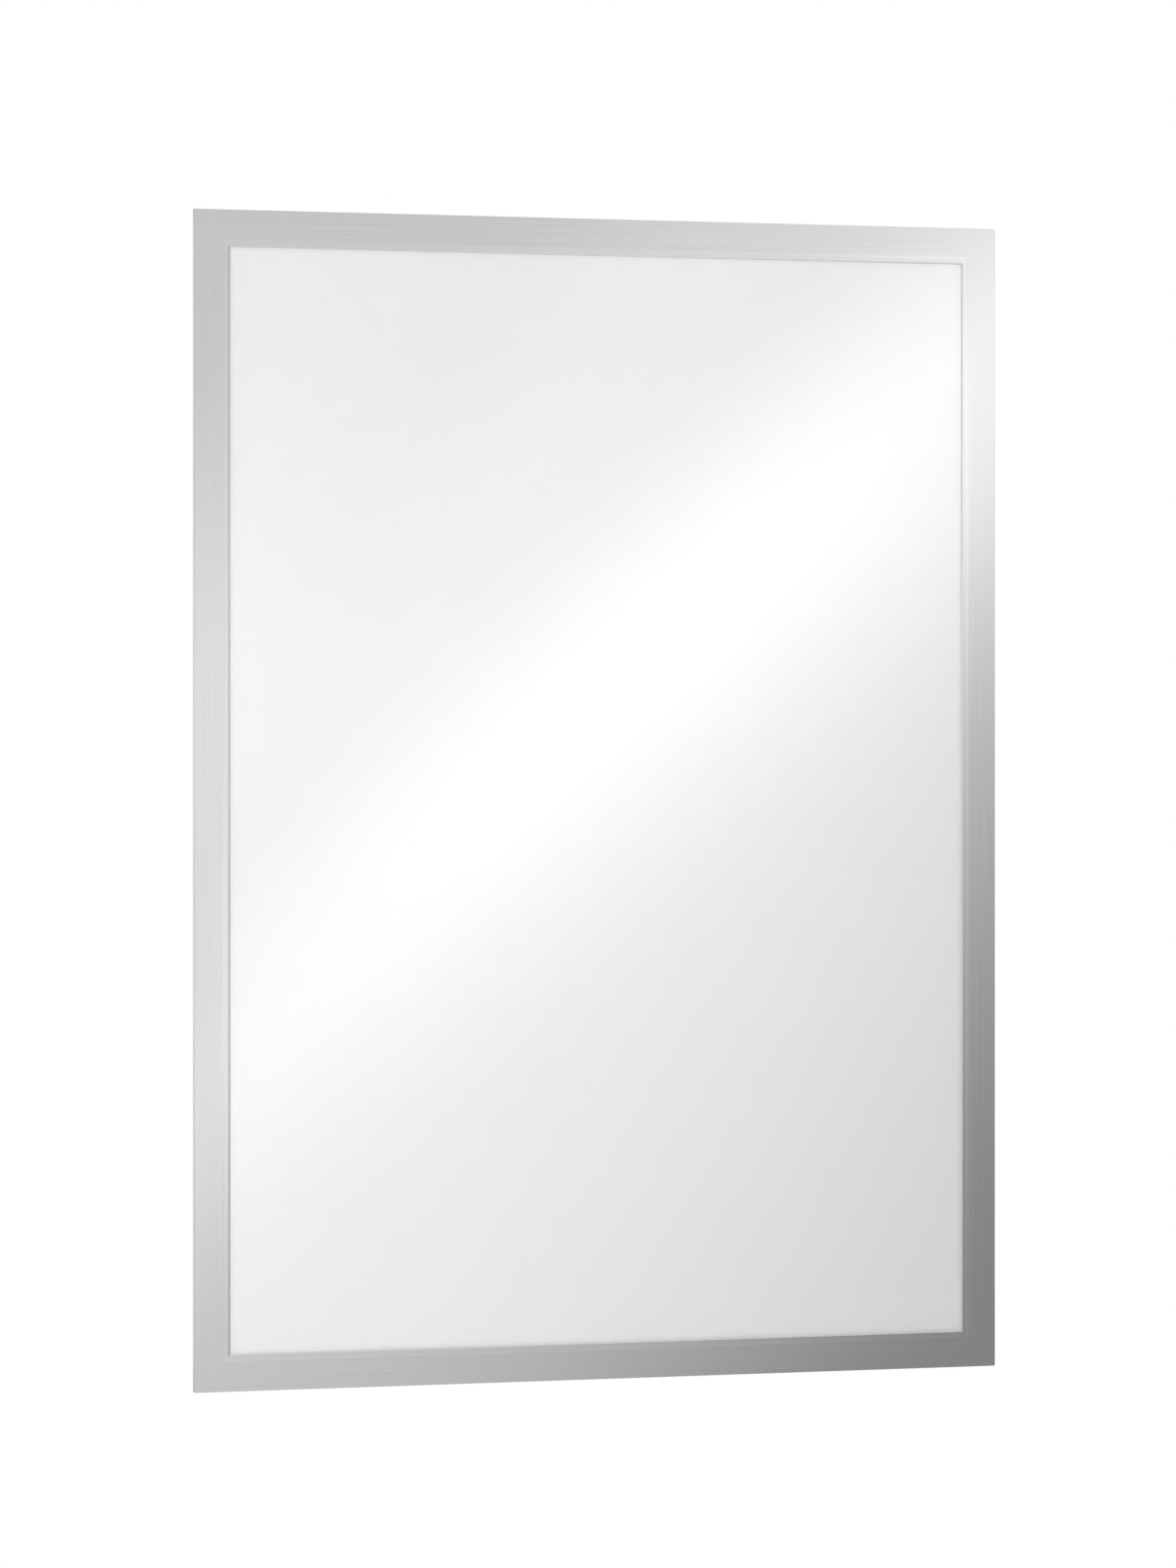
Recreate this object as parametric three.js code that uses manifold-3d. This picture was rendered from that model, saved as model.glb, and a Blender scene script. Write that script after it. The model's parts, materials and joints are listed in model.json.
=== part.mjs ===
// A magnetic poster frame that sticks to a wall or a pane of glass by the tapes on its back.
// A clear front cover with a silver border folds open like a book to change the poster.
// Millimetres, +Z up, +Y into the wall and -Y towards the viewer.
// The origin is the middle of the top tape's sticky face.

import * as THREE from "three";
import { mergeVertices } from "three/addons/utils/BufferGeometryUtils.js";
import Module from "manifold-3d";

// The poster
const posterWidth = 500;
const posterHeight = 700;
const posterThickness = 0.25;
const posterClearance = 0.5;

// Magnet strips, in one ring round the poster and one ring in the cover
const magnetWidth = 18.5;
const rearMagnetThickness = 0.6;
const frontMagnetThickness = 0.4;
const stripGap = 0.25;

// Films
const backSheetThickness = 0.35;
const windowFilmThickness = 0.25;
const cornerRadius = 1;

// Silver border: a flat band over the magnets, a gentle slope down to the lip, and a rolled-off edge
// round the window
const bandThickness = 0.4;
const lipThickness = 0.36;
const lipWidth = 4.7;
const slopeWidth = 3;
const edgeBevel = 0.1;
const rollWidth = 0.9;
const rollMiddle = 0.35;
const rollDrop = 0.03;
const cutEdge = 0.25;

// Sticky tapes on the back
const tapeWidth = 12;
const tapeThickness = 0.25;
const tapeInset = 3;
const tapeEndGap = 5;

// Hinge film, stuck along the frame's left side and creased between the cover and the back
const hingeThickness = 0.25;
const hingeEndInset = 4;

// The glue or air between two layers
const layerGap = 0.05;

// Worked out across the frame
const frameWidth = posterWidth + 2 * (posterClearance + magnetWidth);
const frameHeight = posterHeight + 2 * (posterClearance + magnetWidth);
const borderWidth = magnetWidth + lipWidth;
const tapeRow = frameHeight / 2 - tapeInset - tapeWidth / 2;
const tapeColumn = frameWidth / 2 - tapeInset - tapeWidth / 2;

// Worked out through the frame: how far each layer's rear face stands off the wall
const backSheetLayer = tapeThickness + layerGap;
const rearMagnetLayer = backSheetLayer + backSheetThickness + layerGap;
const posterLayer = rearMagnetLayer;
const frontMagnetLayer = rearMagnetLayer + rearMagnetThickness + layerGap;
const windowFilmLayer = frontMagnetLayer + frontMagnetThickness + layerGap;
const borderLayer = windowFilmLayer + windowFilmThickness + layerGap;

const wasm = await Module();
wasm.setup();

// Materials, one for each stuff that the frame is made of
const silverPrint = new THREE.MeshStandardMaterial({ color: 0xc4c6c8, roughness: 0.3, metalness: 0.9 });
const clearFilm = new THREE.MeshStandardMaterial({
  color: 0xf4f6f7,
  roughness: 0.12,
  metalness: 0,
  transparent: true,
  opacity: 0.25,
});
const magnetRubber = new THREE.MeshStandardMaterial({ color: 0x2a2725, roughness: 0.7, metalness: 0 });
const stickyTape = new THREE.MeshStandardMaterial({ color: 0xe9e6dc, roughness: 0.5, metalness: 0 });
const whitePaper = new THREE.MeshStandardMaterial({ color: 0xf3f3f1, roughness: 0.85, metalness: 0 });

// A rectangle about the origin, with a radius at each corner: bottom left, bottom right, top right, top left.
function cutOutline(width, height, radii = [0, 0, 0, 0]) {
  const [bottomLeft, bottomRight, topRight, topLeft] = radii;
  const right = width / 2;
  const top = height / 2;
  const shape = new THREE.Shape();
  const corner = (x, y, radius, start) => {
    if (radius > 0) shape.absarc(x, y, radius, start, start + Math.PI / 2, false);
    else shape.lineTo(x, y);
  };
  shape.moveTo(-right + bottomLeft, -top);
  corner(right - bottomRight, -top + bottomRight, bottomRight, -Math.PI / 2);
  corner(right - topRight, top - topRight, topRight, 0);
  corner(-right + topLeft, top - topLeft, topLeft, Math.PI / 2);
  if (bottomLeft > 0) corner(-right + bottomLeft, -top + bottomLeft, bottomLeft, Math.PI);
  shape.closePath();
  return shape;
}

// A flat piece cut to an outline, with its rear face at z = 0 and its front face towards the viewer.
function sheet(outline, thickness) {
  return new THREE.ExtrudeGeometry(outline, { depth: thickness, bevelEnabled: false, curveSegments: 6 });
}

// A geometry as a closed solid that can be cut.
function solidOf(geometry) {
  const bare = new THREE.BufferGeometry();
  bare.setAttribute("position", geometry.getAttribute("position"));
  bare.setIndex(geometry.getIndex());
  const merged = mergeVertices(bare);
  return new wasm.Manifold(
    new wasm.Mesh({
      numProp: 3,
      vertProperties: new Float32Array(merged.getAttribute("position").array),
      triVerts: new Uint32Array(merged.getIndex().array),
    }),
  );
}

// A cut solid as a geometry again.
function geometryOf(solid) {
  const mesh = solid.getMesh();
  const geometry = new THREE.BufferGeometry();
  geometry.setAttribute("position", new THREE.BufferAttribute(mesh.vertProperties, 3));
  geometry.setIndex(new THREE.BufferAttribute(mesh.triVerts, 1));
  geometry.computeVertexNormals();
  return geometry;
}

// A ring round the frame with mitred corners. Each point of its section is [inset from the edge, height].
function mitredRing(section) {
  const corners = [
    [-1, -1],
    [1, -1],
    [1, 1],
    [-1, 1],
  ];
  const positions = [];
  for (const [inset, height] of section)
    for (const [sideX, sideY] of corners)
      positions.push(sideX * (frameWidth / 2 - inset), sideY * (frameHeight / 2 - inset), height);
  const index = [];
  for (let i = 0; i < section.length; i++) {
    const here = 4 * i;
    const next = 4 * ((i + 1) % section.length);
    for (let c = 0; c < 4; c++) {
      const d = (c + 1) % 4;
      index.push(here + c, here + d, next + d);
      index.push(here + c, next + d, next + c);
    }
  }
  const geometry = new THREE.BufferGeometry();
  geometry.setAttribute("position", new THREE.Float32BufferAttribute(positions, 3));
  geometry.setIndex(index);
  return geometry;
}

// The silver border, with its outer corners cut round like the films below it.
function borderGeometry() {
  const ring = mitredRing([
    [0, 0],
    [0, bandThickness - edgeBevel],
    [edgeBevel, bandThickness],
    [magnetWidth - slopeWidth / 2, bandThickness],
    [magnetWidth + slopeWidth / 2, lipThickness],
    [borderWidth - rollWidth, lipThickness],
    [borderWidth - rollMiddle, lipThickness - rollDrop],
    [borderWidth, cutEdge],
    [borderWidth, 0],
  ]);
  const blank = sheet(cutOutline(frameWidth, frameHeight, Array(4).fill(cornerRadius)), bandThickness);
  return geometryOf(solidOf(ring).intersect(solidOf(blank)));
}

// Everything is laid out from the frame's middle as seen from the front: x right, y up and z off the wall.
const layers = new THREE.Group();
layers.rotation.x = Math.PI / 2;
layers.position.z = -tapeRow;

const backPanel = new THREE.Group();
const frontCover = new THREE.Group();
layers.add(backPanel, frontCover);

// One named piece in a group, at x, y and its distance off the wall.
function place(group, name, geometry, material, x, y, layer) {
  const mesh = new THREE.Mesh(geometry, material);
  mesh.name = name;
  mesh.position.set(x, y, layer);
  group.add(mesh);
}

// A ring of four magnet strips: the side strips run the frame's full height and the others lie between them.
function magnetRing(group, prefix, thickness, layer) {
  const column = (frameWidth - magnetWidth) / 2;
  const row = (frameHeight - magnetWidth) / 2;
  const between = frameWidth - 2 * (magnetWidth + stripGap);
  const round = cornerRadius;
  const leftStrip = sheet(cutOutline(magnetWidth, frameHeight, [round, 0, 0, round]), thickness);
  const rightStrip = sheet(cutOutline(magnetWidth, frameHeight, [0, round, round, 0]), thickness);
  const crossStrip = sheet(cutOutline(between, magnetWidth), thickness);
  place(group, prefix + "_left", leftStrip, magnetRubber, -column, 0, layer);
  place(group, prefix + "_right", rightStrip, magnetRubber, column, 0, layer);
  place(group, prefix + "_top", crossStrip, magnetRubber, 0, row, layer);
  place(group, prefix + "_bottom", crossStrip, magnetRubber, 0, -row, layer);
}

// The four sticky tapes: the top and bottom ones run the full width and the side ones lie between them.
function wallTapes() {
  const acrossLength = frameWidth - 2 * tapeInset;
  const sideLength = 2 * (tapeRow - tapeWidth / 2 - tapeEndGap);
  const across = sheet(cutOutline(acrossLength, tapeWidth), tapeThickness);
  const side = sheet(cutOutline(tapeWidth, sideLength), tapeThickness);
  place(backPanel, "wall_tape_top", across, stickyTape, 0, tapeRow, 0);
  place(backPanel, "wall_tape_bottom", across, stickyTape, 0, -tapeRow, 0);
  place(backPanel, "wall_tape_left", side, stickyTape, -tapeColumn, 0, 0);
  place(backPanel, "wall_tape_right", side, stickyTape, tapeColumn, 0, 0);
}

// One leaf of the hinge film, from one distance off the wall to another, outside the frame's left side.
function hingeLeaf(group, name, from, to) {
  const leaf = sheet(cutOutline(hingeThickness, frameHeight - 2 * hingeEndInset), to - from);
  const x = -frameWidth / 2 - layerGap - hingeThickness / 2;
  place(group, name, leaf, silverPrint, x, 0, from);
}

const filmOutline = cutOutline(frameWidth, frameHeight, Array(4).fill(cornerRadius));
const posterSheet = sheet(cutOutline(posterWidth, posterHeight), posterThickness);

// The back panel, which stays on the wall
wallTapes();
place(backPanel, "back_sheet", sheet(filmOutline, backSheetThickness), clearFilm, 0, 0, backSheetLayer);
magnetRing(backPanel, "rear_magnet", rearMagnetThickness, rearMagnetLayer);
place(backPanel, "poster_sheet", posterSheet, whitePaper, 0, 0, posterLayer);
hingeLeaf(backPanel, "hinge_rear_leaf", backSheetLayer, rearMagnetLayer + rearMagnetThickness);

// The front cover, which folds open
magnetRing(frontCover, "front_magnet", frontMagnetThickness, frontMagnetLayer);
place(frontCover, "window_film", sheet(filmOutline, windowFilmThickness), clearFilm, 0, 0, windowFilmLayer);
place(frontCover, "silver_border", borderGeometry(), silverPrint, 0, 0, borderLayer);
hingeLeaf(frontCover, "hinge_front_leaf", frontMagnetLayer, windowFilmLayer + windowFilmThickness);

const posterFrame = new THREE.Group();
posterFrame.add(layers);

export default posterFrame;
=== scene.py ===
"""The looks of a magnetic poster frame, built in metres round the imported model.

The row frame has +X to the right, +Y into the wall and +Z up, and the viewer is at -Y.
"""

from __future__ import annotations

import json
import logging
import math
from dataclasses import dataclass
from enum import Enum
from functools import reduce
from typing import Iterable, Mapping, Sequence, Union

import bmesh
import bpy
from mathutils import Matrix, Vector


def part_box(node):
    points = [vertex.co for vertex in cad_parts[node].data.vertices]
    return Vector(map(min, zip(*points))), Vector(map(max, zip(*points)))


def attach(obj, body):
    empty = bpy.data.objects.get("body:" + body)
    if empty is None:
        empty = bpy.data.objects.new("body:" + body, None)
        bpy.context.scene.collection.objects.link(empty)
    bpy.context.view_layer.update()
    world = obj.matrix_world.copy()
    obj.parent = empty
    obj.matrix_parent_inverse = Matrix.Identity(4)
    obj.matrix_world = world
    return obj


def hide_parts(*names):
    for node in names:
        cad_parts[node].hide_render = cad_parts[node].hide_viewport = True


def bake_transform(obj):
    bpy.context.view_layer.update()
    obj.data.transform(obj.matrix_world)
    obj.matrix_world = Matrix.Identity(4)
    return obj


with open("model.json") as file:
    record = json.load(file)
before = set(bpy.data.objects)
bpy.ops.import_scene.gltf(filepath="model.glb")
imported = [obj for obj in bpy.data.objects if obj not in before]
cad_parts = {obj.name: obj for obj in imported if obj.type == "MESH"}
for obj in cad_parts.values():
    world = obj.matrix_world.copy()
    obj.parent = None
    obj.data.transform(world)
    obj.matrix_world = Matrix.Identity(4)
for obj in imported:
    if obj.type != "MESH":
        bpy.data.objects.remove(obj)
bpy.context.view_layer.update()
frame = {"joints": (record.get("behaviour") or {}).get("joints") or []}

MM = 0.001
log = logging.getLogger("poster_frame")

Number = Union[int, float]
Value = Union[int, float, "Wire"]
Colour = tuple[float, float, float, float]
Triple = tuple[float, float, float]

WHITE: Colour = (1.0, 1.0, 1.0, 1.0)
FILM_CORNER = 1.0 * MM
FILM_EDGE = 0.04 * MM
MAGNET_EDGE = 0.1 * MM


class Grain(Enum):
    """Which way the fine lines of a finish run."""

    ALONG_SIDES = "along the nearest side of the frame"
    UPRIGHT = "straight up"


class Ray(Enum):
    """The kinds of ray that Light Path tells apart."""

    CAMERA = "Is Camera Ray"
    GLOSSY = "Is Glossy Ray"
    TRANSMISSION = "Is Transmission Ray"


class Wire:
    """A node's output, on which arithmetic adds Math nodes."""

    def __init__(self, tree: Tree, socket: bpy.types.NodeSocket) -> None:
        """Keeps the tree and the socket."""
        self.tree = tree
        self.socket = socket

    def maths(self, operation: str, *values: Value) -> Wire:
        """Adds one Math node.

        Args:
            operation: the node's operation.
            values: its inputs in order.

        Returns:
            Its result.
        """
        return self.tree.wire("ShaderNodeMath", {"operation": operation}, dict(enumerate(values)))

    def __add__(self, other: Value) -> Wire:
        """This plus other."""
        return self.maths("ADD", self, other)

    def __radd__(self, other: Value) -> Wire:
        """Other plus this."""
        return self.maths("ADD", other, self)

    def __sub__(self, other: Value) -> Wire:
        """This less other."""
        return self.maths("SUBTRACT", self, other)

    def __rsub__(self, other: Value) -> Wire:
        """Other less this."""
        return self.maths("SUBTRACT", other, self)

    def __mul__(self, other: Value) -> Wire:
        """This times other."""
        return self.maths("MULTIPLY", self, other)

    def __rmul__(self, other: Value) -> Wire:
        """Other times this."""
        return self.maths("MULTIPLY", other, self)

    def __truediv__(self, other: Value) -> Wire:
        """This over other."""
        return self.maths("DIVIDE", self, other)

    def __rtruediv__(self, other: Value) -> Wire:
        """Other over this."""
        return self.maths("DIVIDE", other, self)

    def __pow__(self, other: Value) -> Wire:
        """This to the power of other."""
        return self.maths("POWER", self, other)

    def __mod__(self, other: Value) -> Wire:
        """What is left of this after whole others."""
        return self.maths("FLOORED_MODULO", self, other)

    def __lt__(self, other: Value) -> Wire:
        """1 where this is less than other, and 0 elsewhere."""
        return self.maths("LESS_THAN", self, other)

    def __abs__(self) -> Wire:
        """This without its sign."""
        return self.maths("ABSOLUTE", self)

    def floor(self) -> Wire:
        """The whole number below this."""
        return self.maths("FLOOR", self)

    def sine(self) -> Wire:
        """The sine of this angle."""
        return self.maths("SINE", self)

    def cosine(self) -> Wire:
        """The cosine of this angle."""
        return self.maths("COSINE", self)

    def least(self, other: Value) -> Wire:
        """The lesser of this and other."""
        return self.maths("MINIMUM", self, other)

    def most(self, other: Value) -> Wire:
        """The greater of this and other."""
        return self.maths("MAXIMUM", self, other)


class Tree:
    """A node tree that is being built."""

    def __init__(self, tree: bpy.types.NodeTree) -> None:
        """Keeps the tree."""
        self.tree = tree

    @staticmethod
    def socket(sockets: Sequence[bpy.types.NodeSocket], key: str | int) -> bpy.types.NodeSocket:
        """Finds a socket.

        Args:
            sockets: a node's inputs or outputs.
            key: its number, its identifier, or its name among those in use.

        Returns:
            The socket.
        """
        if isinstance(key, int):
            return sockets[key]
        exact = [s for s in sockets if s.identifier == key]
        return (exact or [s for s in sockets if s.name == key and s.enabled])[0]

    def node(
        self,
        kind: str,
        settings: Mapping[str, object] | None = None,
        sockets: Mapping[str | int, object] | None = None,
    ) -> bpy.types.Node:
        """Adds a node.

        Args:
            kind: its type.
            settings: its properties, which are set first.
            sockets: a value or a Wire for each input that is named.

        Returns:
            The node.
        """
        node = self.tree.nodes.new(kind)
        for name, value in (settings or {}).items():
            setattr(node, name, value)
        for key, value in (sockets or {}).items():
            self.feed(self.socket(node.inputs, key), value)
        return node

    def feed(self, into: bpy.types.NodeSocket, value: object) -> None:
        """Gives an input its value.

        Args:
            into: the input.
            value: a Wire, which is linked, or what the input is set to.
        """
        if isinstance(value, Wire):
            self.tree.links.new(value.socket, into)
        else:
            into.default_value = value

    def wire(
        self,
        kind: str,
        settings: Mapping[str, object] | None = None,
        sockets: Mapping[str | int, object] | None = None,
        out: str | int = 0,
    ) -> Wire:
        """Adds a node and gives one of its outputs.

        Args:
            kind: the node's type.
            settings: its properties.
            sockets: its inputs.
            out: which output is wanted.

        Returns:
            The output.
        """
        return Wire(self, self.socket(self.node(kind, settings, sockets).outputs, out))

    def vector(self, x: Value, y: Value, z: Value) -> Wire:
        """Three numbers as a vector."""
        return self.wire("ShaderNodeCombineXYZ", sockets={0: x, 1: y, 2: z})


class ShapeTree(Tree):
    """A Geometry Nodes tree with named inputs, which makes one plain mesh."""

    MERGE_DISTANCE = 0.002 * MM
    CORNER_POINTS = 7
    SOFT_EDGE_SEGMENTS = 2
    SHARP_ANGLE = math.radians(40)

    def __init__(self, name: str) -> None:
        """Makes the tree with its way in and out.

        Args:
            name: the tree's name.
        """
        super().__init__(bpy.data.node_groups.new(name, "GeometryNodeTree"))
        self.tree.interface.new_socket(
            "Geometry", in_out="OUTPUT", socket_type="NodeSocketGeometry"
        )
        self.way_in = self.node("NodeGroupInput")
        self.way_out = self.node("NodeGroupOutput")
        self.sizes: dict[str, Number] = {}

    def size(self, name: str, value: Number) -> Wire:
        """Adds a named input.

        Args:
            name: its name.
            value: what the modifier sets it to.

        Returns:
            The input inside the tree.
        """
        kind = "NodeSocketInt" if isinstance(value, int) else "NodeSocketFloat"
        entry = self.tree.interface.new_socket(name, in_out="INPUT", socket_type=kind)
        self.sizes[entry.identifier] = value
        return Wire(self, self.way_in.outputs[name])

    def index(self) -> Wire:
        """The number of each element."""
        return self.wire("GeometryNodeInputIndex")

    def by_number(self, number: Wire, values: Sequence[Value]) -> Wire:
        """Picks one value by number.

        Args:
            number: a whole number, counted from 0.
            values: what it picks from.

        Returns:
            The value.
        """
        node = self.node("GeometryNodeIndexSwitch", {"data_type": "FLOAT"}, {"Index": number})
        while len(node.index_switch_items) < len(values):
            node.index_switch_items.new()
        for into, value in zip(node.inputs[1:], values):
            self.feed(into, value)
        return Wire(self, node.outputs[0])

    def join(self, *shapes: Wire) -> Wire:
        """Joins shapes.

        Args:
            shapes: what is joined.

        Returns:
            The shapes as one.
        """
        node = self.node("GeometryNodeJoinGeometry")
        for shape in shapes:
            self.feed(node.inputs[0], shape)
        return Wire(self, node.outputs[0])

    def closed(self, shape: Wire) -> Wire:
        """A mesh with the doubles on its seams merged."""
        sockets = {"Geometry": shape, "Distance": self.MERGE_DISTANCE}
        return self.wire("GeometryNodeMergeByDistance", sockets=sockets)

    def plate(self, width: Wire, height: Wire, thickness: Wire, radius: Value) -> Wire:
        """A flat piece about the origin, with its rear face at z = 0.

        Args:
            width: its size along X.
            height: its size along Y.
            thickness: its size along Z.
            radius: its corners' radius, which may differ from corner to corner.

        Returns:
            The closed mesh.
        """
        outline = self.wire(
            "GeometryNodeCurvePrimitiveQuadrilateral", sockets={"Width": width, "Height": height}
        )
        rounded = self.wire(
            "GeometryNodeFilletCurve",
            {"mode": "POLY"},
            {"Curve": outline, "Count": self.CORNER_POINTS, "Radius": radius},
        )
        face = self.wire("GeometryNodeFillCurve", {"mode": "NGONS"}, {"Curve": rounded})
        raised = self.wire(
            "GeometryNodeExtrudeMesh",
            sockets={"Mesh": face, "Offset Scale": thickness, "Individual": False},
        )
        rear = self.wire("GeometryNodeFlipFaces", sockets={"Mesh": face})
        return self.closed(self.join(raised, rear))

    def grow(
        self,
        name: str,
        shape: Wire,
        finish: bpy.types.Material,
        place: Matrix,
        soft_edge: float = 0.0,
    ) -> bpy.types.Object:
        """Ends the tree, runs it once and keeps its result as a plain mesh.

        Args:
            name: the piece's name.
            shape: what the tree makes.
            finish: its material.
            place: where the mesh goes in the row frame.
            soft_edge: how wide its sharp edges are rounded, or 0.

        Returns:
            The piece, at the origin and without modifiers.
        """
        real = self.wire("GeometryNodeRealizeInstances", sockets={"Geometry": shape})
        dressed = self.wire(
            "GeometryNodeSetMaterial", sockets={"Geometry": real, "Material": finish}
        )
        self.feed(self.way_out.inputs[0], dressed)
        piece = in_scene(name, bpy.data.meshes.new(name))
        maker = piece.modifiers.new("shape", "NODES")
        maker.node_group = self.tree
        for identifier, value in self.sizes.items():
            maker[identifier] = value
        if soft_edge:
            bevel = piece.modifiers.new("soft edges", "BEVEL")
            bevel.width, bevel.segments = soft_edge, self.SOFT_EDGE_SEGMENTS
            bevel.limit_method, bevel.angle_limit = "ANGLE", self.SHARP_ANGLE
        graph = bpy.context.evaluated_depsgraph_get()
        mesh = bpy.data.meshes.new_from_object(
            piece.evaluated_get(graph), preserve_all_data_layers=True, depsgraph=graph
        )
        piece.modifiers.clear()
        piece.data = mesh
        mesh.name = name
        mesh.transform(place)
        shade_round_parts(mesh)
        return piece


class FinishTree(Tree):
    """A material's node tree."""

    def __init__(self, name: str) -> None:
        """Makes a material with nothing in it but its output.

        Args:
            name: the material's name.
        """
        self.material = bpy.data.materials.new(name)
        self.material.use_nodes = True
        super().__init__(self.material.node_tree)
        self.tree.nodes.clear()
        self.way_out = self.node("ShaderNodeOutputMaterial")

    def place(self) -> tuple[Wire, Wire, Wire]:
        """Reads where a point of the piece is.

        Returns:
            Its x, y and z in the piece's own frame, in metres.
        """
        point = self.wire("ShaderNodeTexCoord", out="Object")
        split = self.node("ShaderNodeSeparateXYZ", sockets={0: point})
        return tuple(Wire(self, s) for s in split.outputs)

    def smooth(self, value: Wire, start: Value, end: Value) -> Wire:
        """A soft step from 0 at start to 1 at end."""
        sockets = {"Value": value, "From Min": start, "From Max": end}
        return self.wire("ShaderNodeMapRange", {"interpolation_type": "SMOOTHSTEP"}, sockets)

    def blend(self, share: Value, first: object, second: object) -> Wire:
        """A colour between two, by share."""
        sockets = {"Factor_Float": share, "A_Color": first, "B_Color": second}
        return self.wire("ShaderNodeMix", {"data_type": "RGBA"}, sockets, "Result_Color")

    def bump(self, height: Value, depth: float) -> Wire:
        """Relief as a normal, from its height in units of depth and the depth in metres."""
        sockets = {"Height": height, "Distance": depth, "Strength": 1.0}
        return self.wire("ShaderNodeBump", sockets=sockets)

    def principled(self, **sockets: object) -> Wire:
        """A Principled shader, with underscores for the spaces in its sockets' names."""
        named = {name.replace("_", " "): value for name, value in sockets.items()}
        return self.wire("ShaderNodeBsdfPrincipled", sockets=named)

    def glow(self, strength: Value) -> Wire:
        """White light of this strength."""
        return self.wire("ShaderNodeEmission", sockets={"Color": WHITE, "Strength": strength})

    def done(self, surface: Wire) -> bpy.types.Material:
        """Ends the material with this surface and gives it."""
        self.feed(self.way_out.inputs["Surface"], surface)
        return self.material


def in_scene(name: str, data: bpy.types.ID) -> bpy.types.Object:
    """Puts a new object in the scene.

    Args:
        name: its name.
        data: its mesh, lamp or camera.

    Returns:
        The object.
    """
    thing = bpy.data.objects.new(name, data)
    bpy.context.scene.collection.objects.link(thing)
    return thing


def shade_round_parts(mesh: bpy.types.Mesh) -> None:
    """Shades a mesh smooth, except the faces that lie square to an axis.

    Args:
        mesh: the mesh.
    """
    square = 0.9995
    for face in mesh.polygons:
        face.use_smooth = max(abs(part) for part in face.normal) < square
    mesh.update()


def seat(piece: bpy.types.Object, body: str, nodes: Sequence[str]) -> None:
    """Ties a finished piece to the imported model.

    Args:
        piece: the piece.
        body: the body it moves with.
        nodes: the nodes it stands for.
    """
    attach(piece, body)
    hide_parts(*nodes)
    report(piece)


def report(piece: bpy.types.Object) -> None:
    """Logs a finished piece."""
    log.info("%s: %d faces", piece.name, len(piece.data.polygons))


@dataclass(frozen=True)
class Layer:
    """The room that one layer of the frame takes, read from its node."""

    width: float
    height: float
    thickness: float
    middle: float
    level: float
    rear: float

    @classmethod
    def of(cls, node: str) -> Layer:
        """Reads a node's box.

        Args:
            node: the node's name.

        Returns:
            The layer.
        """
        low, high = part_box(node)
        size = high - low
        centre = (low + high) / 2
        return cls(size.x, size.z, size.y, centre.x, centre.z, high.y)

    def upright(self) -> Matrix:
        """Stands a piece that was built lying face up against its rear face."""
        spot = Matrix.Translation((self.middle, self.rear, self.level))
        return spot @ Matrix.Rotation(math.radians(90), 4, "X")


@dataclass(frozen=True)
class Bars:
    """A point of the frame as its nearest side sees it."""

    along: Wire
    across: Wire
    inset: Wire
    on_left: Wire


@dataclass(frozen=True)
class Face:
    """The frame's outline, which its finishes follow."""

    half_width: float
    half_height: float
    level: float

    def bars(self, tree: FinishTree, grain: Grain = Grain.ALONG_SIDES) -> Bars:
        """Turns the point into lengths along and across the nearest side.

        Args:
            tree: the finish's tree.
            grain: which way the lines run.

        Returns:
            The lengths in metres, the inset from the outline, and 1 on the left side.
        """
        x, _, z = tree.place()
        from_side = self.half_width - abs(x)
        from_end = self.half_height - abs(z - self.level)
        if grain is Grain.UPRIGHT:
            return Bars(z, x, from_side, x < 0)
        upright = from_side < from_end
        ways = {"A_Vector": tree.vector(x, z, 0), "B_Vector": tree.vector(z, x, 0)}
        sockets = {"Factor_Float": upright, **ways}
        turned = tree.wire("ShaderNodeMix", {"data_type": "VECTOR"}, sockets, "Result_Vector")
        split = tree.node("ShaderNodeSeparateXYZ", sockets={0: turned})
        along, across, _ = (Wire(tree, s) for s in split.outputs)
        return Bars(along, across, from_side.least(from_end), upright * (x < 0))


@dataclass(frozen=True)
class Noise:
    """One layer of a finish's soft noise, and its shares in tone, roughness and relief."""

    cells_along: float
    cells_across: float
    offset: float
    detail: float = 2.0
    roughness: float = 0.5
    tone: float = 0.0
    gloss: float = 0.0
    relief: float = 0.0

    def over(self, tree: FinishTree, along: Wire, across: Wire) -> Wire:
        """Spreads the noise over a surface.

        Args:
            tree: the finish's tree.
            along: the point's place along the noise's lines, in metres.
            across: its place across them.

        Returns:
            The noise, mostly from -0.25 to 0.25.
        """
        point = tree.vector(along * self.cells_along, across * self.cells_across, self.offset)
        sockets = {"Vector": point, "Scale": 1.0, "Detail": self.detail}
        sockets["Roughness"] = self.roughness
        return tree.wire("ShaderNodeTexNoise", sockets=sockets) - 0.5


@dataclass(frozen=True)
class Texture:
    """What the noises of a finish add up to."""

    tone: Value
    gloss: Value
    relief: Value

    @classmethod
    def of(cls, tree: FinishTree, along: Wire, across: Wire, noises: Sequence[Noise]) -> Texture:
        """Adds up noises.

        Args:
            tree: the finish's tree.
            along: the point's place along the noises' lines, in metres.
            across: its place across them.
            noises: the layers.

        Returns:
            Their sums by the layers' shares.
        """
        layers = [(noise, noise.over(tree, along, across)) for noise in noises]
        return cls(
            cls.total([(value, noise.tone) for noise, value in layers]),
            cls.total([(value, noise.gloss) for noise, value in layers]),
            cls.total([(value, noise.relief) for noise, value in layers]),
        )

    @staticmethod
    def total(shares: Sequence[tuple[Wire, float]]) -> Value:
        """Adds up values by their shares, without those that have none.

        Args:
            shares: each value and its share.

        Returns:
            The sum.
        """
        result: Value = 0.0
        for value, share in shares:
            if share:
                result = value * share + result
        return result


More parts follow.
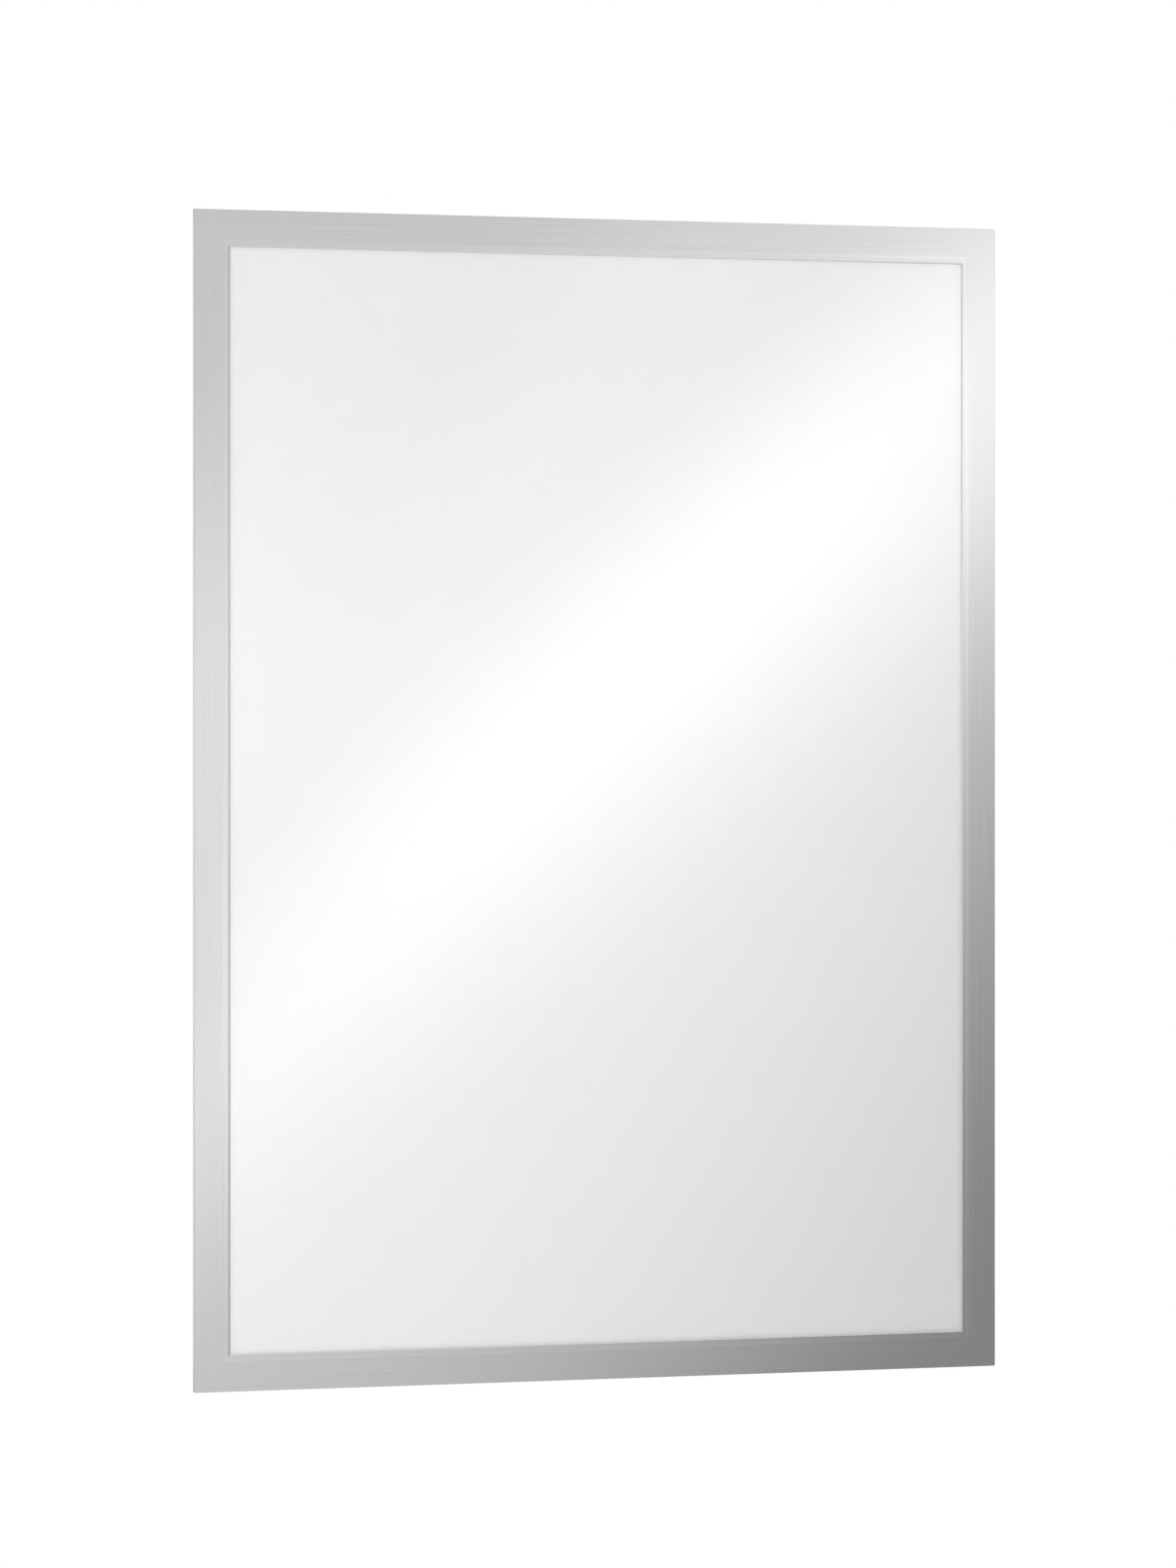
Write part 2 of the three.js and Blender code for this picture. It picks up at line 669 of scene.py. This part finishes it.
@dataclass(frozen=True)
class SilverPrint:
    """Silver print under gloss: brushed along each side and dark at its edges, with a painted
    highlight on the lip and a painted shade along the left side's window edge.
    """

    face: Face
    grain: Grain = Grain.ALONG_SIDES
    dark: Colour = (0.495, 0.496, 0.498, 1.0)
    light: Colour = (0.73, 0.731, 0.733, 1.0)
    middle_tone: float = 0.5
    hairlines: Noise = Noise(9, 2600, 3.1, 3.0, 0.6, tone=0.4, gloss=0.05, relief=1.0)
    streaks: Noise = Noise(3.5, 520, 7.7, tone=0.17, gloss=0.03, relief=0.3)
    clouds: Noise = Noise(11, 40, 1.9, 3.0, tone=0.1)
    relief_depth: float = 0.0012 * MM
    roughness: float = 0.13
    coat: float = 0.35
    coat_roughness: float = 0.06
    cut_edge: float = 0.5 * MM
    edge_shade: float = 0.22
    edge_roughness: float = 0.08
    # Painted highlight: over the lip the print is made paler, standing for extra light that the
    # lip catches.
    lip_start: float = 17.6 * MM
    lip_end: float = 20.6 * MM
    lip_painted_highlight: float = 0.09
    rim_start: float = 22.0 * MM
    rim_end: float = 22.9 * MM
    rim_shade: float = 0.22
    # Painted shade: along the left side's window edge the print is blended to a darker colour,
    # standing for the shadow that falls there.
    left_rim_painted_shade: Colour = (0.456, 0.457, 0.459, 1.0)
    left_rim_painted_shade_start: float = 21.6 * MM
    left_rim_painted_shade_end: float = 22.4 * MM

    def material(self) -> bpy.types.Material:
        """Makes the finish.

        Returns:
            Its material.
        """
        tree = FinishTree("silver_print_" + self.grain.name.lower())
        bars = self.face.bars(tree, self.grain)
        noises = (self.hairlines, self.streaks, self.clouds)
        texture = Texture.of(tree, bars.along, bars.across, noises)
        edge = 1 - tree.smooth(bars.inset, 0.0, self.cut_edge)
        # Mask of the painted highlight on the lip.
        lip = tree.smooth(bars.inset, self.lip_start, self.lip_end)
        rim = tree.smooth(bars.inset, self.rim_start, self.rim_end)
        # Mask of the painted shade along the left side's window edge.
        fold = bars.on_left * tree.smooth(bars.inset, self.left_rim_painted_shade_start, self.left_rim_painted_shade_end)
        shade = edge * self.edge_shade + rim * self.rim_shade
        tone = self.middle_tone + texture.tone + lip * self.lip_painted_highlight - shade
        silver = tree.blend(tone, self.dark, self.light)
        return tree.done(
            tree.principled(
                Base_Color=tree.blend(fold, silver, self.left_rim_painted_shade),
                Metallic=1.0,
                Roughness=self.roughness + texture.gloss + edge * self.edge_roughness,
                Coat_Weight=self.coat,
                Coat_Roughness=self.coat_roughness,
                Normal=tree.bump(texture.relief, self.relief_depth),
            )
        )


@dataclass(frozen=True)
class ClearFilm:
    """Clear glossy film: it lets the light through and mirrors a share of it."""

    name: str
    mirror: float = 0.149
    edge_on_power: float = 5.0
    roughness: float = 0.06
    tint: Colour = (0.993, 0.994, 0.994, 1.0)
    ripples: Noise = Noise(5, 4, 0.7, 1.0, 0.4, relief=1.0)
    relief_depth: float = 0.05 * MM
    smears: Noise = Noise(26, 17, 4.2, 3.0, gloss=0.02)
    smear_lean: float = 0.346

    def material(self) -> bpy.types.Material:
        """Makes the finish.

        Returns:
            Its material.
        """
        tree = FinishTree(self.name)
        x, _, z = tree.place()
        ripple = Texture.of(tree, x, z, [self.ripples])
        smear = Texture.of(tree, x + z * self.smear_lean, z, [self.smears])
        facing = tree.wire("ShaderNodeLayerWeight", sockets={"Blend": 0.5}, out="Facing")
        share = self.mirror + (1 - self.mirror) * facing**self.edge_on_power
        gloss = tree.wire(
            "ShaderNodeBsdfGlossy",
            sockets={
                "Color": WHITE,
                "Roughness": self.roughness + smear.gloss,
                "Normal": tree.bump(ripple.relief, self.relief_depth),
            },
        )
        clear = tree.wire("ShaderNodeBsdfTransparent", sockets={"Color": self.tint})
        return tree.done(tree.wire("ShaderNodeMixShader", sockets={0: share, 1: clear, 2: gloss}))


@dataclass(frozen=True)
class PosterPaper:
    """White poster paper with a faint fibre."""

    white: Colour = (0.90, 0.90, 0.895, 1.0)
    fibre_shade: Colour = (0.85, 0.85, 0.84, 1.0)
    middle_tone: float = 0.25
    roughness: float = 0.55
    fibres: Noise = Noise(900, 650, 2.3, 4.0, 0.65, tone=0.5, gloss=0.12, relief=1.0)
    clouds: Noise = Noise(60, 60, 5.1, 3.0, tone=0.3)
    relief_depth: float = 0.01 * MM

    def material(self) -> bpy.types.Material:
        """Makes the finish.

        Returns:
            Its material.
        """
        tree = FinishTree("white_paper")
        x, _, z = tree.place()
        texture = Texture.of(tree, x, z, [self.fibres, self.clouds])
        tone = self.middle_tone + texture.tone
        return tree.done(
            tree.principled(
                Base_Color=tree.blend(tone, self.white, self.fibre_shade),
                Roughness=self.roughness + texture.gloss,
                Normal=tree.bump(texture.relief, self.relief_depth),
            )
        )


@dataclass(frozen=True)
class MagnetRubber:
    """Dark magnet rubber with the fine lines that extrusion leaves along each strip."""

    face: Face
    dark: Colour = (0.018, 0.016, 0.015, 1.0)
    dusty: Colour = (0.062, 0.056, 0.052, 1.0)
    middle_tone: float = 0.4
    roughness: float = 0.6
    lines: Noise = Noise(4, 1500, 6.4, 3.0, 0.6, tone=0.9, gloss=0.15, relief=1.0)
    grit: Noise = Noise(2400, 2400, 0.3, 3.0, 0.6, tone=0.3, relief=0.4)
    dust: Noise = Noise(30, 55, 9.2, 4.0, 0.6, tone=0.8, gloss=0.2)
    relief_depth: float = 0.012 * MM

    def material(self) -> bpy.types.Material:
        """Makes the finish.

        Returns:
            Its material.
        """
        tree = FinishTree("magnet_rubber")
        bars = self.face.bars(tree)
        noises = (self.lines, self.grit, self.dust)
        texture = Texture.of(tree, bars.along, bars.across, noises)
        tone = self.middle_tone + texture.tone
        return tree.done(
            tree.principled(
                Base_Color=tree.blend(tone, self.dark, self.dusty),
                Roughness=self.roughness + texture.gloss,
                Normal=tree.bump(texture.relief, self.relief_depth),
            )
        )


@dataclass(frozen=True)
class StickyTape:
    """Off-white double-sided tape with its fibre mesh and a few trapped bubbles."""

    pale: Colour = (0.70, 0.675, 0.60, 1.0)
    warm: Colour = (0.60, 0.565, 0.475, 1.0)
    middle_tone: float = 0.45
    roughness: float = 0.36
    weave: Noise = Noise(1400, 1400, 1.4, tone=0.5, relief=0.4)
    clouds: Noise = Noise(70, 70, 8.8, 4.0, 0.6, tone=0.9, gloss=0.2)
    bubble_cells: float = 210.0
    bubble_middle: float = 0.12
    bubble_end: float = 0.24
    bubble_tone: float = 0.25
    bubble_gloss: float = 0.1
    relief_depth: float = 0.02 * MM

    def material(self) -> bpy.types.Material:
        """Makes the finish.

        Returns:
            Its material.
        """
        tree = FinishTree("sticky_tape")
        x, y, z = tree.place()
        texture = Texture.of(tree, x, z, [self.weave, self.clouds])
        point = tree.vector(*(part * self.bubble_cells for part in (x, y, z)))
        cell = tree.wire(
            "ShaderNodeTexVoronoi",
            {"feature": "F1"},
            {"Vector": point, "Scale": 1.0},
            out="Distance",
        )
        bubble = 1 - tree.smooth(cell, self.bubble_middle, self.bubble_end)
        tone = self.middle_tone + texture.tone + bubble * self.bubble_tone
        return tree.done(
            tree.principled(
                Base_Color=tree.blend(tone, self.pale, self.warm),
                Roughness=self.roughness + texture.gloss - bubble * self.bubble_gloss,
                Normal=tree.bump(texture.relief + bubble, self.relief_depth),
            )
        )


@dataclass(frozen=True)
class SilverBorder:
    """The die-cut silver border: a flat band, a soft step, a lip and an edge rolled off."""

    layer: Layer
    band: float = 17.75 * MM
    step: float = 3.0 * MM
    step_drop: float = 0.016 * MM
    border: float = 23.2 * MM
    edge_radius: float = 0.12 * MM
    rear_radius: float = 0.03 * MM
    roll_width: float = 0.7 * MM
    roll_drop: float = 0.12 * MM
    outer_corner: float = 1.0 * MM
    bend_corner: float = 0.8 * MM
    window_corner: float = 0.12 * MM
    arc_points: int = 8
    corner_steps: int = 8

    def bend_radius(self) -> float:
        """The radius of the two equal arcs that make the step."""
        half_step, half_drop = self.step / 2, self.step_drop / 2
        return (half_step**2 + half_drop**2) / (2 * half_drop)

    def step_angle(self) -> float:
        """How steep the step is in its middle."""
        return math.asin(self.step / 2 / self.bend_radius())

    def build(self, finish: bpy.types.Material) -> bpy.types.Object:
        """Makes the border as one loft round the window.

        Args:
            finish: its material.

        Returns:
            The piece.
        """
        tree = ShapeTree("silver border")
        half_width = tree.size("Width", self.layer.width) / 2
        half_height = tree.size("Height", self.layer.height) / 2
        height = tree.size("Band Height", self.layer.thickness)
        band = tree.size("Band Width", self.band)
        step = tree.size("Step Width", self.step)
        border = tree.size("Border Width", self.border)
        lip = height - tree.size("Step Drop", self.step_drop)
        edge = tree.size("Edge Radius", self.edge_radius)
        rear = tree.size("Rear Edge Radius", self.rear_radius)
        roll = tree.size("Roll Width", self.roll_width)
        drop = tree.size("Roll Drop", self.roll_drop)
        bend = tree.size("Bend Radius", self.bend_radius())
        angle = tree.size("Step Angle", self.step_angle())
        outer_corner = tree.size("Outer Corner", self.outer_corner)
        bend_corner = tree.size("Bend Corner", self.bend_corner)
        window_corner = tree.size("Window Corner", self.window_corner)

        arcs = 6
        rows = arcs * self.arc_points
        columns = 4 * (self.corner_steps + 1)
        grid = tree.wire(
            "GeometryNodeMeshGrid", sockets={"Vertices X": columns + 1, "Vertices Y": rows + 1}
        )
        index = tree.index()
        column = (index / (rows + 1)).floor() % columns
        row = (index % (rows + 1)) % rows

        arc = (row / self.arc_points).floor()
        turn = (row % self.arc_points) / (self.arc_points - 1)
        quarter = math.pi / 2
        start = tree.by_number(
            arc, [-quarter, 0.0, quarter, quarter + angle, quarter, 2 * quarter]
        )
        end = tree.by_number(
            arc, [0.0, quarter, quarter + angle, quarter, 2 * quarter, 3 * quarter]
        )
        wide = tree.by_number(arc, [rear, edge, bend, -1 * bend, roll, rear])
        tall = tree.by_number(arc, [rear, edge, bend, -1 * bend, drop, rear])
        middle_inset = tree.by_number(
            arc, [rear, edge, band, band + step, border - roll, border - rear]
        )
        middle_height = tree.by_number(
            arc, [rear, height - edge, height - bend, lip + bend, lip - drop, rear]
        )
        around = start + (end - start) * turn
        inset = middle_inset - wide * around.cosine()
        level = middle_height + tall * around.sine()
        corner = tree.by_number(
            arc,
            [
                outer_corner - inset,
                outer_corner - inset,
                bend_corner,
                bend_corner,
                window_corner + border - inset,
                window_corner + border - inset,
            ],
        )

        side = (column / (self.corner_steps + 1)).floor()
        share = (column % (self.corner_steps + 1)) / self.corner_steps
        heading = (side + share) * quarter
        reach = half_width - inset - corner
        climb = half_height - inset - corner
        x = tree.by_number(side, [1.0, -1.0, -1.0, 1.0]) * reach + corner * heading.cosine()
        y = tree.by_number(side, [1.0, 1.0, -1.0, -1.0]) * climb + corner * heading.sine()
        ring = tree.wire(
            "GeometryNodeSetPosition",
            sockets={"Geometry": grid, "Position": tree.vector(x, y, level)},
        )
        return tree.grow("silver_border_print", tree.closed(ring), finish, self.layer.upright())


@dataclass(frozen=True)
class CutSheet:
    """One flat sheet or film, cut with small round corners."""

    name: str
    layer: Layer
    corner: float
    soft_edge: float

    def build(self, finish: bpy.types.Material) -> bpy.types.Object:
        """Makes the sheet.

        Args:
            finish: its material.

        Returns:
            The piece.
        """
        tree = ShapeTree(self.name)
        shape = tree.plate(
            tree.size("Width", self.layer.width),
            tree.size("Height", self.layer.height),
            tree.size("Thickness", self.layer.thickness),
            tree.size("Corner Radius", self.corner),
        )
        return tree.grow(self.name, shape, finish, self.layer.upright(), self.soft_edge)


@dataclass(frozen=True)
class StripRing:
    """Four strips in a ring: one along each side of the frame."""

    name: str
    side: Layer
    cross: Layer
    corner: float
    soft_edge: float

    @classmethod
    def of(cls, name: str, prefix: str, corner: float, soft_edge: float) -> StripRing:
        """Reads the ring's sizes from its nodes.

        Args:
            name: the piece's name.
            prefix: what its four nodes' names start with.
            corner: the radius of the ring's outer corners.
            soft_edge: how wide the strips' edges are rounded.

        Returns:
            The ring.
        """
        return cls(name, Layer.of(prefix + "_right"), Layer.of(prefix + "_top"), corner, soft_edge)

    def build(self, finish: bpy.types.Material) -> bpy.types.Object:
        """Makes the ring from two kinds of strip.

        Args:
            finish: its material.

        Returns:
            The piece.
        """
        tree = ShapeTree(self.name)
        thickness = tree.size("Thickness", self.side.thickness)
        column = tree.size("Column", self.side.middle)
        row = tree.size("Row", self.cross.level - self.side.level)
        corner = tree.size("Outer Corner", self.corner)
        outer_only = tree.by_number(tree.index(), [corner, 0.0, 0.0, corner])
        upright = tree.plate(
            tree.size("Side Strip Width", self.side.width),
            tree.size("Side Strip Length", self.side.height),
            thickness,
            outer_only,
        )
        level = tree.plate(
            tree.size("Cross Strip Length", self.cross.width),
            tree.size("Cross Strip Width", self.cross.height),
            thickness,
            0.0,
        )
        sides = self.two(tree, upright, tree.vector(column, 0, 0))
        ends = self.two(tree, level, tree.vector(0, row, 0))
        return tree.grow(self.name, tree.join(sides, ends), finish, self.place(), self.soft_edge)

    def place(self) -> Matrix:
        """Stands the ring about the frame's middle."""
        return Layer(0, 0, 0, 0, self.side.level, self.side.rear).upright()

    @staticmethod
    def two(tree: ShapeTree, strip: Wire, spot: Wire) -> Wire:
        """Two copies of a strip on opposite sides, half a turn apart.

        Args:
            tree: the ring's tree.
            strip: the strip, about the origin.
            spot: where the first copy lies.

        Returns:
            The copies.
        """
        back = tree.wire("ShaderNodeVectorMath", {"operation": "SCALE"}, {0: spot, "Scale": -2.0})
        spots = tree.wire(
            "GeometryNodeMeshLine", sockets={"Count": 2, "Start Location": spot, "Offset": back}
        )
        turned = tree.vector(0, 0, tree.index() * math.pi)
        return tree.wire(
            "GeometryNodeInstanceOnPoints",
            sockets={"Points": spots, "Instance": strip, "Rotation": turned},
        )


@dataclass(frozen=True)
class HingeFilm:
    """The film along the left side, scored down its middle so that it folds there."""

    rear: Layer
    front: Layer
    crease: float
    score_depth: float = 0.05 * MM
    score_reach: float = 0.16 * MM
    inner_score: float = 1.6
    flat_starts: tuple[float, float] = (0.352 * MM, 0.72 * MM)
    edge_radius: float = 0.05 * MM
    edge_flat: float = 0.1 * MM
    edge_middle: tuple[float, float] = (0.3, 0.4)
    overlap: float = 0.2 * MM
    stations: int = 24

    def outline(self) -> list[tuple[float, float]]:
        """Draws the film's section.

        Returns:
            Its (x, y) points, round it once.
        """
        outer = self.rear.middle - self.rear.width / 2
        inner = self.rear.middle + self.rear.width / 2
        near, far = self.front.rear - self.front.thickness - self.overlap, self.rear.rear
        close, wide = self.flat_starts
        way = [near + self.edge_flat, self.crease - close]
        way += [self.crease + self.score_reach * k / 2 for k in range(-2, 3)]
        way += [self.crease + close, self.crease + wide, far - self.edge_flat]

        def cut(y: float) -> float:
            """How deep the score is at y."""
            return self.score_depth * max(0.0, 1 - abs(y - self.crease) / self.score_reach)

        outside = [(outer + cut(y), y) for y in way]
        inside = [(inner - self.inner_score * cut(y), y) for y in reversed(way)]
        radius = self.edge_radius
        out, back = (radius * share for share in self.edge_middle)
        far_edge = [(outer + out, far - back), (outer + radius, far)]
        far_edge += [(inner - radius, far), (inner - out, far - back)]
        near_edge = [(inner - out, near + back), (inner - radius, near)]
        near_edge += [(outer + radius, near), (outer + out, near + back)]
        return outside + far_edge + inside + near_edge

    def build(self, finish: bpy.types.Material) -> bpy.types.Object:
        """Makes the film.

        Args:
            finish: its material.

        Returns:
            The piece.
        """
        name = "hinge_film"
        shape = bmesh.new()
        low = self.rear.level - self.rear.height / 2
        section = self.outline()
        rings = []
        for k in range(self.stations + 1):
            z = low + self.rear.height * k / self.stations
            rings.append([shape.verts.new((x, y, z)) for x, y in section])
        count = len(section)
        for below, above in zip(rings, rings[1:]):
            for i in range(count):
                j = (i + 1) % count
                shape.faces.new((below[i], below[j], above[j], above[i]))
        shape.faces.new(rings[0])
        shape.faces.new(list(reversed(rings[-1])))
        bmesh.ops.recalc_face_normals(shape, faces=shape.faces)
        mesh = bpy.data.meshes.new(name)
        shape.to_mesh(mesh)
        shape.free()
        mesh.materials.append(finish)
        shade_round_parts(mesh)
        return in_scene(name, mesh)


@dataclass(frozen=True)
class BackPanel:
    """What stays on the wall: the tapes, the back film, the rear magnets and the poster."""

    body: str = "back_panel"
    tape_edge: float = 0.06 * MM
    poster_corner: float = 0.3 * MM
    film_mirror: float = 0.05
    film_roughness: float = 0.12

    def build(self, rubber: bpy.types.Material) -> None:
        """Makes the panel's pieces.

        Args:
            rubber: the magnets' finish.
        """
        tapes = StripRing.of("wall_tapes", "wall_tape", 0.0, self.tape_edge)
        sticky = StickyTape().material()
        seat(tapes.build(sticky), self.body, ring_nodes("wall_tape"))
        film = CutSheet("back_film", Layer.of("back_sheet"), FILM_CORNER, FILM_EDGE)
        clear = ClearFilm("back_clear_film", self.film_mirror, roughness=self.film_roughness)
        seat(film.build(clear.material()), self.body, ["back_sheet"])
        magnets = StripRing.of("rear_magnets", "rear_magnet", FILM_CORNER, MAGNET_EDGE)
        seat(magnets.build(rubber), self.body, ring_nodes("rear_magnet"))
        layer = Layer.of("poster_sheet")
        poster = CutSheet("poster_paper", layer, self.poster_corner, FILM_EDGE)
        seat(poster.build(PosterPaper().material()), self.body, ["poster_sheet"])


@dataclass(frozen=True)
class FrontCover:
    """What folds open: the front magnets, the window film and the silver border."""

    face: Face
    body: str = "front_cover"

    def build(self, rubber: bpy.types.Material) -> None:
        """Makes the cover's pieces.

        Args:
            rubber: the magnets' finish.
        """
        magnets = StripRing.of("front_magnets", "front_magnet", FILM_CORNER, MAGNET_EDGE)
        seat(magnets.build(rubber), self.body, ring_nodes("front_magnet"))
        film = CutSheet("window_clear_film", Layer.of("window_film"), FILM_CORNER, FILM_EDGE)
        clear = ClearFilm("window_film")
        seat(film.build(clear.material()), self.body, ["window_film"])
        border = SilverBorder(Layer.of("silver_border"))
        silver = SilverPrint(self.face).material()
        seat(border.build(silver), self.body, ["silver_border"])


def ring_nodes(prefix: str) -> list[str]:
    """The names of a ring's four nodes."""
    return [f"{prefix}_{side}" for side in ("left", "right", "top", "bottom")]


@dataclass(frozen=True)
class Hinge:
    """The fold between the back panel and the cover."""

    face: Face
    fold: float = 0.12 * MM
    # Painted light: the hinge's silver is a paler copy of the border's print, so that its side,
    # seen edge on, does not look dark.
    dark: Colour = (0.68, 0.682, 0.684, 1.0)
    light: Colour = (0.86, 0.862, 0.864, 1.0)

    def build(self) -> None:
        """Makes the hinge film, straight and scored at the crease, and hides the two leaves that
        it stands for.
        """
        joint = frame["joints"][0]
        crease = joint["pos_m"][1]
        film = HingeFilm(Layer.of("hinge_rear_leaf"), Layer.of("hinge_front_leaf"), crease)
        silver = SilverPrint(self.face, Grain.UPRIGHT, self.dark, self.light, edge_shade=0.0)
        piece = film.build(silver.material())
        crease + self.fold
        crease - self.fold
        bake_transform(piece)
        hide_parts("hinge_rear_leaf", "hinge_front_leaf")
        report(piece)


@dataclass(frozen=True)
class Ramp:
    """A soft diagonal change of light across a panel."""

    slant: float
    start: float
    end: float
    gain: float

    def glow(self, tree: FinishTree, across: Wire, up: Wire) -> Wire:
        """How much light the ramp adds at a point.

        Args:
            tree: the panel's tree.
            across: the point's distance to the right of the middle.
            up: its height over the middle.

        Returns:
            The light.
        """
        angle = math.radians(self.slant)
        place = up * math.cos(angle) - across * math.sin(angle)
        return tree.smooth(place, self.start, self.end) * self.gain


@dataclass(frozen=True)
class SoftPanel:
    """A large graded light panel, seen only as a reflection: a pale diagonal band over grey."""

    level: float
    eye: Triple
    distance: float = 2.5
    plain: float = 0.886
    ramps: tuple[Ramp, ...] = (
        Ramp(24.8, 0.377, 0.031, 1.447),
        Ramp(43.4, 0.161, 0.021, 1.018),
        Ramp(37.0, 0.371, -0.13, -2.603),
        Ramp(60.2, 0.194, -0.365, -4.327),
        Ramp(62.8, 0.241, -0.332, 3.917),
    )
    half_width: float = 1.1
    half_height: float = 1.3
    margin: float = 0.3

    def build(self) -> None:
        """Makes the panel so that the frame's mirror image falls on its middle."""
        reach = -self.distance / self.eye[1]
        middle_x = -self.eye[0] * reach
        middle_z = self.level + (self.level - self.eye[2]) * reach
        tree = FinishTree("soft_panel")
        x, _, z = tree.place()
        across = x - middle_x
        up = z - middle_z
        glow: Value = self.plain
        for ramp in self.ramps:
            glow = glow + ramp.glow(tree, across / (1 + reach), up / (1 + reach))
        inside = tree.smooth(abs(across), self.half_width, self.half_width - self.margin)
        inside = inside * tree.smooth(abs(up), self.half_height, self.half_height - self.margin)
        light = tree.glow(1 + (glow - 1) * inside)
        mesh = bpy.data.meshes.new("soft_panel")
        corners = [(-1, -1), (1, -1), (1, 1), (-1, 1)]
        points = [
            (middle_x + a * self.half_width, -self.distance, middle_z + b * self.half_height)
            for a, b in corners
        ]
        mesh.from_pydata(points, [], [(0, 1, 2, 3)])
        mesh.materials.append(tree.done(light))
        panel = in_scene("soft_panel", mesh)
        panel.visible_camera = panel.visible_diffuse = panel.visible_shadow = False
        panel.visible_transmission = panel.visible_volume_scatter = False


@dataclass(frozen=True)
class SoftLamp:
    """A square soft light, aimed at the frame's middle and not mirrored in it."""

    name: str
    spot: Triple
    size: float
    power: float

    def build(self, aim: Triple) -> None:
        """Makes the lamp.

        Args:
            aim: the point that it is turned to.
        """
        lamp = bpy.data.lights.new(self.name, "AREA")
        lamp.shape, lamp.size, lamp.energy = "SQUARE", self.size, self.power
        light = in_scene(self.name, lamp)
        light.location = self.spot
        way = Vector(aim) - light.location
        light.rotation_euler = way.to_track_quat("-Z", "Y").to_euler()
        light.visible_glossy = False


@dataclass(frozen=True)
class Studio:
    """A plain pale studio: a white surround, a pale floor, soft lights and the panel."""

    level: float
    eye: Triple
    fill: float = 0.33
    floor_level: float = -1.8
    floor_radius: float = 6.0
    floor_sides: int = 96
    floor_colour: Colour = (0.6, 0.6, 0.6, 1.0)
    floor_glow: float = 0.84
    floor_mirrored: float = 0.86
    lamps: tuple[SoftLamp, ...] = (
        SoftLamp("key", (-1.65, -3.2, -0.25), 1.7, 99.5),
        SoftLamp("rear", (1.6, 3.3, 0.9), 2.6, 110.0),
    )

    def build(self) -> None:
        """Makes the studio."""
        self.surround()
        self.floor()
        for lamp in self.lamps:
            lamp.build((0.0, 0.0, self.level))
        SoftPanel(self.level, self.eye).build()

    @staticmethod
    def seen(tree: Tree, rays: Iterable[Ray] = Ray) -> Wire:
        """Tells rays that show the studio itself from those that only light things.

        Args:
            tree: the tree that asks.
            rays: the kinds that count.

        Returns:
            1 for rays of these kinds, and 0 for others.
        """
        path = tree.node("ShaderNodeLightPath")
        return reduce(Wire.most, (Wire(tree, path.outputs[ray.value]) for ray in rays))

    def surround(self) -> None:
        """Makes the world: white where it is seen, and a plain level where it lights."""
        world = bpy.data.worlds.new("surround")
        world.use_nodes = True
        bpy.context.scene.world = world
        tree = Tree(world.node_tree)
        tree.tree.nodes.clear()
        strength = self.fill + self.seen(tree) * (1 - self.fill)
        sky = tree.wire("ShaderNodeBackground", sockets={"Color": WHITE, "Strength": strength})
        tree.node("ShaderNodeOutputWorld", sockets={"Surface": sky})

    def floor(self) -> None:
        """Makes the floor: pale, white where it is seen out of shadow, and plain in mirrors."""
        tree = FinishTree("studio_floor")
        pale = tree.wire("ShaderNodeBsdfDiffuse", sockets={"Color": self.floor_colour})
        glow = tree.glow(self.seen(tree) * self.floor_glow)
        lit = tree.wire("ShaderNodeAddShader", sockets={0: pale, 1: glow})
        plain = tree.glow(self.floor_mirrored)
        mirrored = self.seen(tree, [Ray.GLOSSY])
        surface = tree.wire("ShaderNodeMixShader", sockets={0: mirrored, 1: lit, 2: plain})
        shape = bmesh.new()
        bmesh.ops.create_circle(
            shape, cap_ends=True, segments=self.floor_sides, radius=self.floor_radius
        )
        mesh = bpy.data.meshes.new("studio_floor")
        shape.to_mesh(mesh)
        shape.free()
        mesh.transform(Matrix.Translation((0, 0, self.floor_level)))
        mesh.materials.append(tree.done(surface))
        in_scene("studio_floor", mesh)


@dataclass(frozen=True)
class PhotoCamera:
    """The camera that took the photograph: level, left of the frame and turned towards it."""

    spot: Triple = (-1.3426, -3.9479, -0.309)
    turn: float = math.radians(-18.664)
    lens: float = 150.4
    sensor: float = 36.0
    lift: float = -0.0415
    nearest: float = 0.05
    farthest: float = 50.0

    def build(self) -> None:
        """Makes the camera."""
        data = bpy.data.cameras.new("photo_camera")
        data.lens, data.sensor_width, data.shift_y = self.lens, self.sensor, self.lift
        data.clip_start, data.clip_end = self.nearest, self.farthest
        camera = in_scene("photo_camera", data)
        camera.location = self.spot
        camera.rotation_euler = (math.radians(90), 0.0, self.turn)
        bpy.context.scene.camera = camera


def main() -> None:
    """Builds the poster frame and its studio."""
    logging.basicConfig(level=logging.INFO, format="%(name)s %(message)s")
    bpy.context.scene.view_settings.view_transform = "Standard"
    whole = Layer.of("window_film")
    face = Face(whole.width / 2, whole.height / 2, whole.level)
    camera = PhotoCamera()
    camera.build()
    Studio(whole.level, camera.spot).build()
    rubber = MagnetRubber(face).material()
    BackPanel().build(rubber)
    FrontCover(face).build(rubber)
    Hinge(face).build()


if __name__ == "__main__":
    main()
